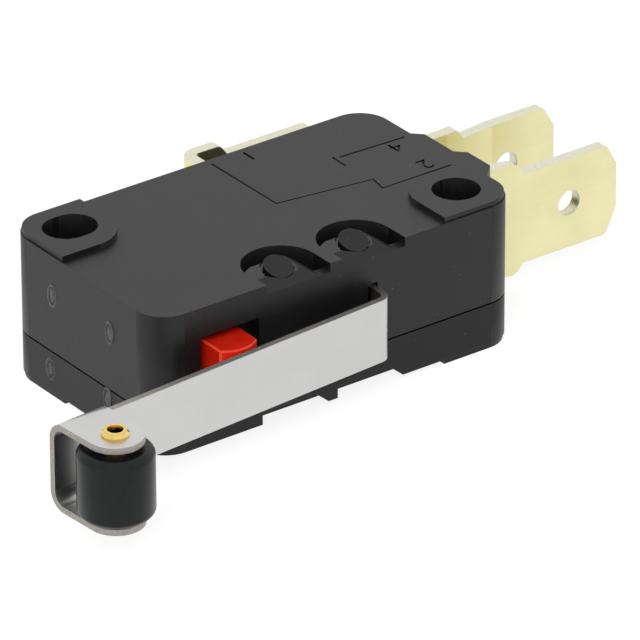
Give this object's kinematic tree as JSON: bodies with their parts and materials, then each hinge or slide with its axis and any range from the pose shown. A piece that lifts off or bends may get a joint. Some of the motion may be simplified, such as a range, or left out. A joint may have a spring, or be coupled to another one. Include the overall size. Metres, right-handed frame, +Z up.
{
  "type": "lever micro switch",
  "caption": "Snap-action micro switch with a hinge roller lever, red plunger and three flat tab terminals.",
  "frame": {"origin": "on the axis of the round mounting hole, in the plane of the cover's hole pads that the part lies on", "axes": "+X along the case towards the NO and NC tabs, +Y from the lever side to the COM side, +Z up through the mounting holes"},
  "size_m": [0.0503, 0.0288, 0.0103],
  "materials": {
    "case": "moulded thermoset, fine satin",
    "plunger": "moulded, semi-gloss",
    "spring_steel": "rolled sheet, satin",
    "rivet_brass": "turned and flared",
    "roller": "moulded",
    "terminal_brass": "stamped, pale",
    "contact_silver": "polished silver",
    "blade_bronze": "rolled spring sheet"
  },
  "bodies": {
    "case": {"housing": "case", "cover": "case", "com_terminal": "terminal_brass", "no_terminal": "terminal_brass", "nc_terminal": "terminal_brass", "nc_contact": "contact_silver", "no_contact": "contact_silver"},
    "push_piece": {"plunger": "plunger"},
    "lever_arm": {"lever": "spring_steel", "roller_rivet": "rivet_brass"},
    "roller_body": {"roller": "roller"},
    "contact_arm": {"snap_blade": "blade_bronze", "moving_contact": "contact_silver"}
  },
  "joints": [
    {"name": "lever_hinge", "type": "hinge", "parent": "case", "child": "lever_arm", "pos_m": [-0.00855, -0.00207, 0.00515], "axis": [0, 0, -1], "range_deg": [0, 7.4], "stiffness_Nm_per_rad": 0.02, "springref_deg": -34.38},
    {"name": "plunger_slide", "type": "slide", "parent": "case", "child": "push_piece", "axis": [0, 1, 0], "range_m": [0, 0.00094]},
    {"name": "roller_spin", "type": "hinge", "parent": "lever_arm", "child": "roller_body", "pos_m": [-0.03309, -0.00995, 0.00515], "axis": [0, 0, 1], "continuous": true},
    {"name": "contact_swing", "type": "hinge", "parent": "case", "child": "contact_arm", "pos_m": [-0.0229, 0.0048, 0.00515], "axis": [0, 0, 1], "range_deg": [0, 1.75]}
  ],
  "couplings": [
    {"joint": "plunger_slide", "follows": "lever_hinge", "m_per_rad": 0.007278},
    {"joint": "contact_swing", "follows": "lever_hinge", "ratio": 0.2364}
  ]
}
